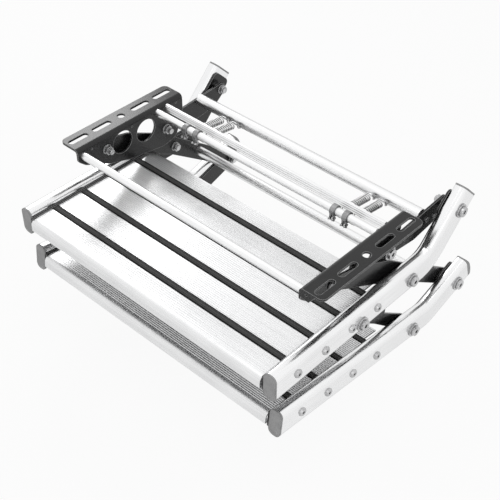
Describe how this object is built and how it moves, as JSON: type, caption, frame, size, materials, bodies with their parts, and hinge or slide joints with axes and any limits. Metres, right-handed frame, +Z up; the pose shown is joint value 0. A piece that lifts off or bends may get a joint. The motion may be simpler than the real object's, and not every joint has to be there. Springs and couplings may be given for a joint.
{
  "type": "folding entrance step",
  "caption": "Folding entrance step with slotted mounting brackets, swinging link plates, ribbed treads with rubber strips in bent oval rails, and coil springs, shown folded.",
  "frame": {"origin": "midway between the two flanges' middle round holes, on the flanges' top face", "axes": "+Z up, -Y to the front where the tread noses point, +Y to the rear under the vehicle, +X completes the right-handed frame; X = 0 is the middle plane"},
  "size_m": [0.6002, 0.526, 0.2724],
  "materials": {
    "black_coat": "satin black powder coat",
    "polished_aluminium": "bright anodised extrusion",
    "tread_aluminium": "fine-ribbed anodised extrusion",
    "grey_plastic": "moulded",
    "rubber_strip": "matt",
    "steel": "zinc plated"
  },
  "bodies": {
    "brackets": {"bracket_bolts": "steel", "bracket_nuts": "steel", "bracket_spacers": "steel", "cross_bar": "polished_aluminium", "front_rod": "polished_aluminium", "left_bracket": "black_coat", "right_bracket": "black_coat", "spring_straps": "steel", "spring_tube": "polished_aluminium", "strap_bolts": "steel", "strap_nuts": "steel"},
    "front_links": {"front_link_left": "black_coat", "front_link_right": "black_coat", "front_link_tube": "polished_aluminium"},
    "rear_links": {"rear_link_bushes": "steel", "rear_link_left": "black_coat", "rear_link_nuts": "steel", "rear_link_right": "black_coat", "rear_link_studs": "steel", "rear_link_tube": "polished_aluminium"},
    "upper_step": {"upper_front_caps": "grey_plastic", "upper_pivot_bolts": "steel", "upper_pivot_nuts": "steel", "upper_plank_1": "tread_aluminium", "upper_plank_2": "tread_aluminium", "upper_plank_3": "tread_aluminium", "upper_plank_4": "tread_aluminium", "upper_plank_5": "tread_aluminium", "upper_rail_left": "polished_aluminium", "upper_rail_right": "polished_aluminium", "upper_rear_caps": "grey_plastic", "upper_screws": "steel", "upper_side_plates": "black_coat", "upper_strips": "rubber_strip"},
    "lower_links": {"lower_link_bushes": "steel", "lower_link_left": "black_coat", "lower_link_nuts": "steel", "lower_link_right": "black_coat"},
    "lower_step": {"lower_front_caps": "grey_plastic", "lower_pivot_bolts": "steel", "lower_pivot_nuts": "steel", "lower_plank_1": "tread_aluminium", "lower_plank_2": "tread_aluminium", "lower_plank_3": "tread_aluminium", "lower_plank_4": "tread_aluminium", "lower_plank_5": "tread_aluminium", "lower_rail_left": "polished_aluminium", "lower_rail_right": "polished_aluminium", "lower_rear_caps": "grey_plastic", "lower_screws": "steel", "lower_side_plates": "black_coat", "lower_strips": "rubber_strip"},
    "springs": {"springs": "steel"}
  },
  "joints": [
    {"name": "step_swing", "type": "hinge", "parent": "brackets", "child": "front_links", "pos_m": [0, -0.0605, -0.027], "axis": [-1, 0, 0], "range_deg": [0, 105.29]},
    {"name": "upper_step_turn", "type": "hinge", "parent": "front_links", "child": "upper_step", "pos_m": [0, 0.1089, -0.1133], "axis": [-1, 0, 0], "range_deg": [-105.3, 0]},
    {"name": "rear_link_swing", "type": "hinge", "parent": "brackets", "child": "rear_links", "pos_m": [0, 0.0792, -0.0534], "axis": [-1, 0, 0], "range_deg": [0, 168.88]},
    {"name": "lower_link_swing", "type": "hinge", "parent": "upper_step", "child": "lower_links", "pos_m": [0, -0.0196, -0.1195], "axis": [-1, 0, 0], "range_deg": [0, 94.25]},
    {"name": "lower_step_turn", "type": "hinge", "parent": "front_links", "child": "lower_step", "pos_m": [0, 0.261, -0.2223], "axis": [-1, 0, 0], "range_deg": [-112.5, 0]},
    {"name": "spring_swing", "type": "hinge", "parent": "brackets", "child": "springs", "pos_m": [0, 0.07159, -0.02397], "axis": [-1, 0, 0], "range_deg": [0, 134.88], "deforming": ["springs"]}
  ],
  "couplings": [
    {"joint": "upper_step_turn", "follows": "step_swing", "ratio": -1},
    {"joint": "rear_link_swing", "follows": "step_swing", "ratio": 1.604},
    {"joint": "lower_link_swing", "follows": "step_swing", "ratio": 0.89508},
    {"joint": "lower_step_turn", "follows": "step_swing", "ratio": -1.0684},
    {"joint": "spring_swing", "follows": "step_swing", "ratio": 1.281}
  ]
}
